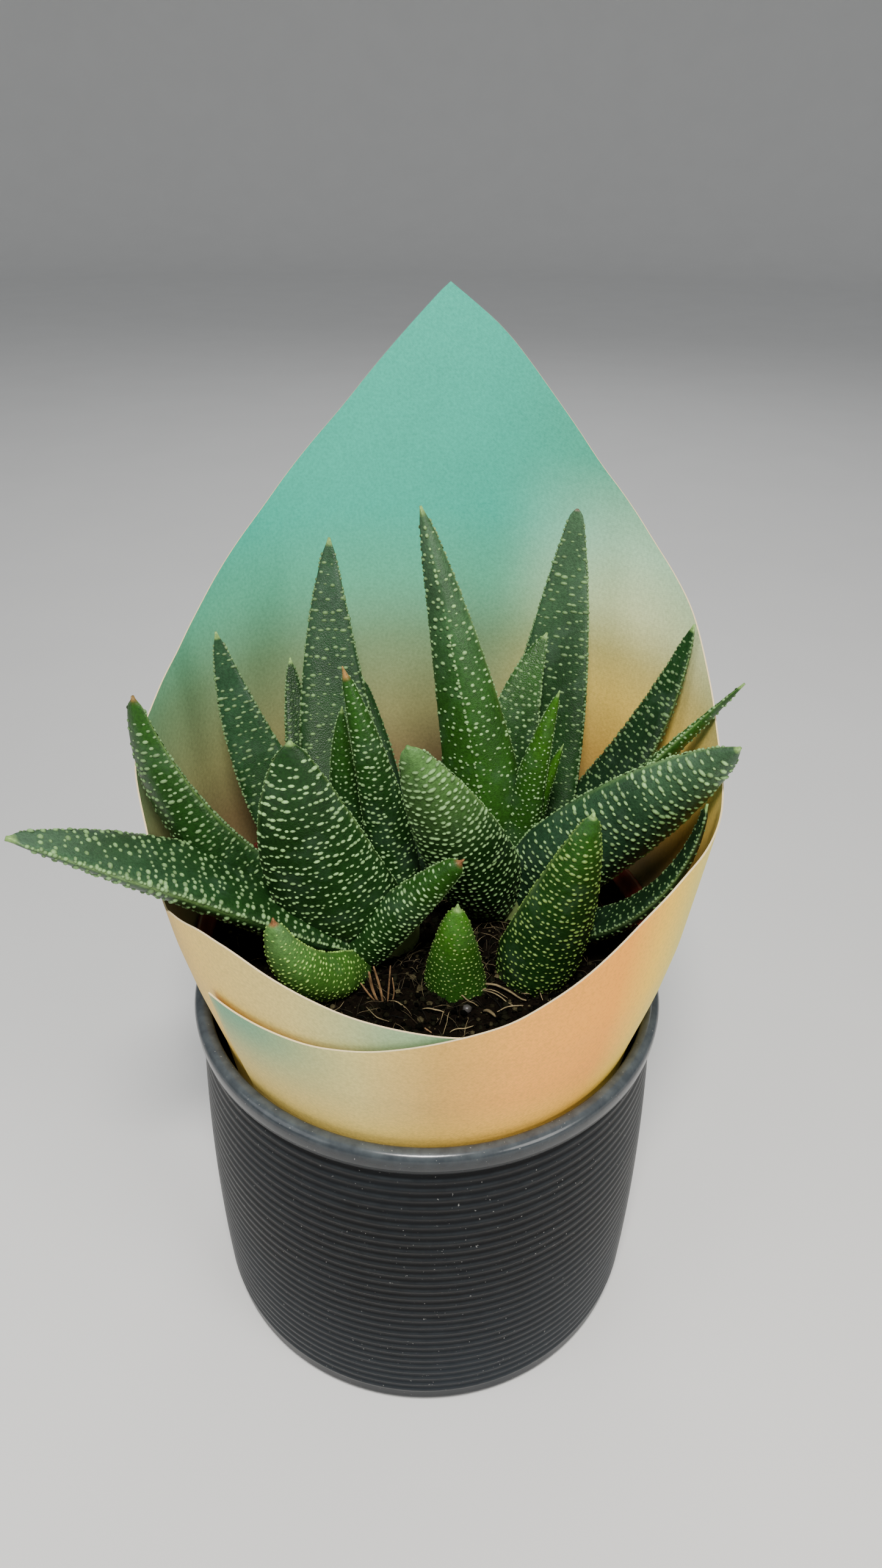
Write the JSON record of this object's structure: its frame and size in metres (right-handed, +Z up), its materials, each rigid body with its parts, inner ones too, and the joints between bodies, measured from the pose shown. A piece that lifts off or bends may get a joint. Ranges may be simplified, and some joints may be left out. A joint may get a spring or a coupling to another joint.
{
  "type": "potted rosette succulent",
  "caption": "Rosette succulent with pale-dotted pointed leaves in a growing pot, wrapped in a tall pointed paper sleeve and standing in a finely ribbed dark ceramic pot.",
  "frame": {"origin": "middle of the cover pot's foot, on the surface that it stands on", "axes": "+Z up, -Y towards the front of the sleeve with its lapped edge, +X to the right seen from the front"},
  "size_m": [0.1596, 0.1567, 0.264],
  "materials": {
    "glaze": "satin dark blue-grey glaze, worn lighter on the rim and ribs",
    "red_plastic": "dark brick-red moulded growing pot",
    "peat": "damp black peat with pale root fibres",
    "printed_paper": "matt printed paper, teal through sand to peach",
    "leaf_green": "dark green waxy skin with pale tubercles",
    "young_green": "lighter green waxy skin with pale tubercles",
    "stem_green": "pale green short stem"
  },
  "bodies": {
    "root": {"cover_pot": "glaze", "growing_pot": "red_plastic", "potting_soil": "peat", "paper_sleeve": "printed_paper", "stem_left": "stem_green", "stem_right": "stem_green", "leaf_heart_left": "leaf_green", "leaf_inner_tall": "leaf_green", "leaf_back_tall": "leaf_green", "leaf_broad_front": "leaf_green", "leaf_left_tall": "leaf_green", "leaf_back_dark": "leaf_green", "leaf_back_small": "leaf_green", "leaf_mid_dark": "leaf_green", "leaf_left_back": "leaf_green", "leaf_far_left": "leaf_green", "leaf_front_cross": "leaf_green", "leaf_low_hook": "young_green", "leaf_central_tall": "leaf_green", "leaf_heart_right": "leaf_green", "leaf_heart_small": "leaf_green", "leaf_behind_tall": "leaf_green", "leaf_front_blunt": "leaf_green", "leaf_right_tall": "leaf_green", "leaf_right_broad": "leaf_green", "leaf_right_back": "leaf_green", "leaf_right_thin": "leaf_green", "leaf_low_right": "leaf_green", "leaf_front_right": "young_green", "leaf_young_front": "young_green"}
  },
  "joints": []
}
